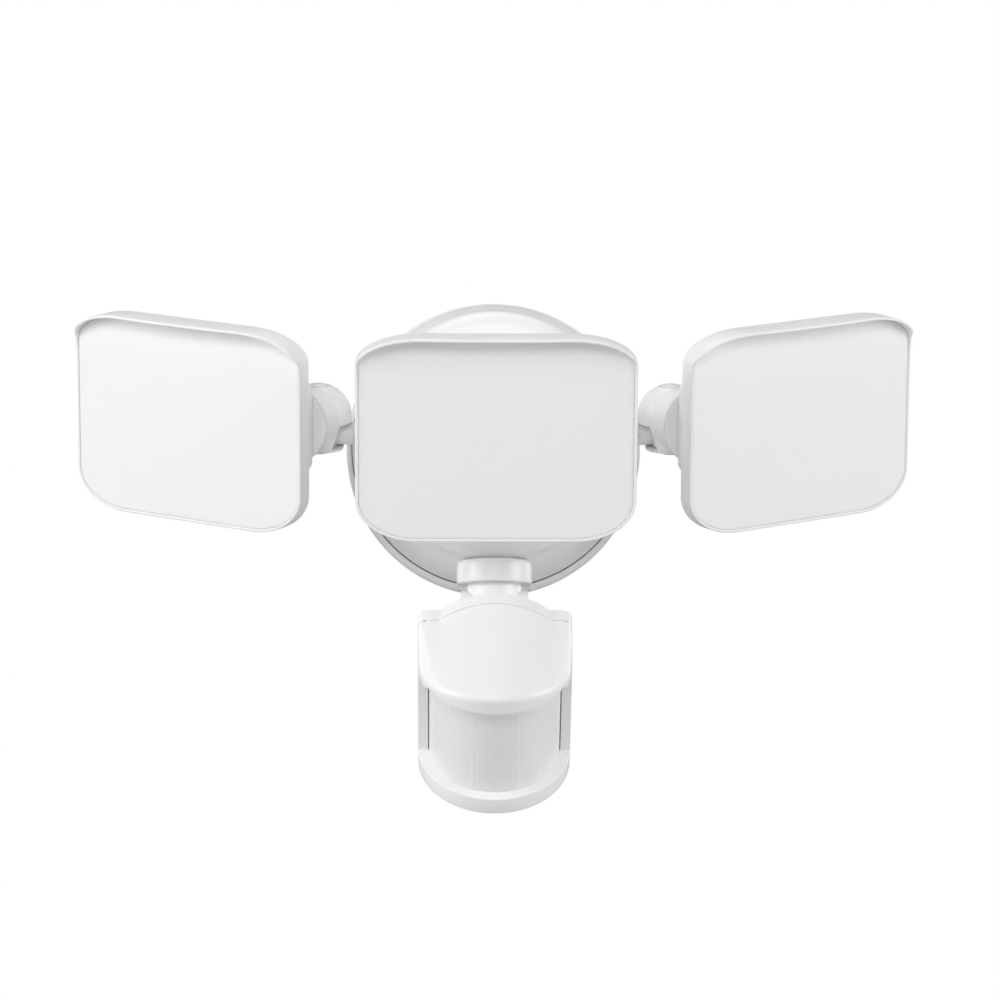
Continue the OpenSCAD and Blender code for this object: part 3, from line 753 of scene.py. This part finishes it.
# ---------------------------------------------------------------- sensor
def sensor_plan(inset, back, steps=48):
    """The sensor seen from above: a round front on straight sides, as (x, y)."""
    r = SENSOR_R - inset
    turns = [math.pi + math.pi * i / steps for i in range(steps + 1)]
    arc = [(r * math.cos(t), -PLAN_Y + r * math.sin(t)) for t in turns]
    right = [(r, -PLAN_Y + (PLAN_Y - back) * i / 4) for i in range(1, 5)]
    rear = straight((r, -back), (-r, -back), 24)
    left = [(-x, y) for x, y in reversed(right)]
    return arc + right + rear + left


def arch_height(x):
    """Height of the hood's rear edge: an arch between two square shoulders."""
    half = min(abs(x), SENSOR_R)
    top = max(ARCH_Z + math.sqrt(max(0, ARCH_R ** 2 - half ** 2)), SHOULDER_H)
    over = half - (SENSOR_R - SHOULDER_ROUND)
    if over > 0:
        top -= SHOULDER_ROUND - math.sqrt(max(0, SHOULDER_ROUND ** 2 - over ** 2))
    return top


def hood_height(x, depth):
    """Height of the hood's top: an arch at the rear that runs out to a crowned brow."""
    side = min(abs(x), SENSOR_R)
    reach = PLAN_Y + math.sqrt(SENSOR_R ** 2 - side ** 2) - REAR_T
    share = max(0, min(1, (depth - REAR_T) / reach)) ** HOOD_RUN
    brow = BROW_TOP - BROW_FALL * (side / SENSOR_R) ** 2
    rear = arch_height(x)
    return rear + (brow - rear) * share


def hood_under(x):
    """Height of the hood's underside, which dips a little over the cheeks."""
    over_cheek = (abs(x) - CHEEK_IN + CHEEK_LEAD) / BROW_SIDE_RAMP
    return BROW_H - BROW_SIDE_DROP * smooth_step(over_cheek)


def edge_drop(x, y):
    """How far the hood's top falls where it rounds over its outer edge."""
    gap = max(0, min(HOOD_ROUND, SENSOR_R - math.hypot(x, min(0, y + PLAN_Y))))
    return HOOD_ROUND - math.sqrt(HOOD_ROUND ** 2 - (HOOD_ROUND - gap) ** 2)


def hood_rings():
    """Rings of the hood: its foot, then its top closing in towards the middle."""
    outline = sensor_plan(0, REAR_T)
    rings = [[(x, y, hood_under(x) + lift) for x, y in outline] for lift in (0, HOOD_FOOT)]
    for share in HOOD_SHARES:
        ring = []
        for x, y in outline:
            cx, cy = x * share, -PLAN_Y + (y + PLAN_Y) * share
            ring.append((cx, cy, hood_height(cx, -cy) - edge_drop(cx, cy)))
        rings.append(ring)
    return rings


def chin_rings():
    """Rings of the chin: a flat foot with rounded edges."""
    steps = curl(CHIN_ROUND, 5) + [(inset, CHIN_H - rise) for inset, rise in curl(CHIN_LIP, 3, flip=True)]
    return [[(x, y, z) for x, y in sensor_plan(inset, REAR_T)] for inset, z in steps]


def cheek_rings(sign):
    """The side wall between chin and hood, beside the lens."""
    r = SENSOR_R - CHEEK_INSET
    last = math.asin((CHEEK_FRONT - PLAN_Y) / r)
    plan = [(sign * CHEEK_IN, -REAR_T), (sign * r, -REAR_T)]
    for i in range(5):
        t = last * i / 4
        plan.append((sign * r * math.cos(t), -PLAN_Y - r * math.sin(t)))
    plan.append((sign * CHEEK_IN, -CHEEK_FRONT))
    foot = [(x, y, CHIN_H - CHEEK_SINK) for x, y in plan]
    top = [(x, y, min(BROW_H - CHEEK_TOP, hood_height(x, -y) - CHEEK_UNDER)) for x, y in plan]
    return [foot, top]


def core_rings():
    """The block behind the lens that joins chin, cheeks and hood."""
    half, front = CHEEK_IN + CORE_LAP, -PLAN_Y + CHEEK_SINK
    plan = [(-half, -REAR_T), (half, -REAR_T), (half, front), (-half, front)]
    return [[(x, y, z) for x, y in plan] for z in (CHIN_H - CHEEK_SINK, BROW_H + CHEEK_SINK)]


def sensor_hood():
    bm = bmesh.new()
    stack(bm, hood_rings())
    stack(bm, chin_rings())
    for sign in SIDES.values():
        stack(bm, cheek_rings(sign))
    stack(bm, core_rings())
    finish_piece("sensor_hood", bm, sensor_frame(), "sensor", "shell", ["sensor_cover"])


def back_rings():
    """Rings of the rear shell, following the hood's arch, with a thin step where the cover fits on."""
    whole = REAR_T + REAR_BACK
    steps = curl(BACK_EDGE, 4) + [(0, whole - BACK_STEP), (BACK_STEP, whole - BACK_STEP), (BACK_STEP, whole)]
    rings = []
    for inset, rise in steps:
        half = SENSOR_R - BACK_INSET - inset
        across = [half - 2 * half * i / 48 for i in range(49)]
        outline = [(-half, inset + BACK_SILL), (half, inset + BACK_SILL)]
        outline += [(x, arch_height(x) - inset) for x in across]
        rings.append([(x, REAR_BACK - rise, z) for x, z in outline])
    return rings


def tongue_rings():
    """The tongue that the tilt screw goes through, flat-sided with a round end."""
    side = [(0, PIVOT_H - TONGUE_R), (0, PIVOT_H + TONGUE_R), (PIVOT_BACK, PIVOT_H + TONGUE_R)]
    for i in range(1, 25):
        t = math.pi * i / 24
        side.append((PIVOT_BACK + TONGUE_R * math.sin(t), PIVOT_H + TONGUE_R * math.cos(t)))
    return [[(x, y, z) for y, z in side] for x in (-TONGUE_W / 2, TONGUE_W / 2)]


def sensor_back():
    bm = bmesh.new()
    stack(bm, back_rings())
    stack(bm, tongue_rings())
    finish_piece("sensor_back", bm, sensor_frame(), "sensor", "shell", ["sensor_rear"])


def lens_arc(radius):
    """Half round lens line as (x, y), with short straight tails."""
    arc = [(-radius, -PLAN_Y + LENS_TAIL)]
    for i in range(65):
        t = math.pi / 2 * (i / 32 - 1)
        arc.append((radius * math.sin(t), -PLAN_Y - radius * math.cos(t)))
    return arc + [(radius, -PLAN_Y + LENS_TAIL)]


def sensor_lens():
    bm = bmesh.new()
    plan = lens_arc(LENS_R) + lens_arc(LENS_R - LENS_WALL)[::-1]
    stack(bm, [[(x, y, z) for x, y in plan] for z in (CHIN_H - LENS_LAP, BROW_H + LENS_LAP)])
    finish_piece("sensor_window", bm, sensor_frame(), "sensor", "lens", ["fresnel_lens"])


# ---------------------------------------------------------------- CAD nodes that keep their shape
def dress_cad_nodes():
    slots = {s["node"]: s["material_slot"] for s in frame["record"]["subparts"]}
    for name, node in frame["nodes"].items():
        slot = slots[name]
        node.data.materials.clear()
        node.data.materials.append(finishes["joint_shell" if slot == "shell" else slot])


make_camera()
make_studio()
make_floor()
dress_cad_nodes()
canopy_base()
canopy_shell()
canopy_gap_shade()
for head in ("left", "centre", "right"):
    lamp_housing(head)
    lamp_diffuser(head)
for head in SIDES:
    knuckle_cap(head)
sensor_hood()
sensor_back()
sensor_lens()
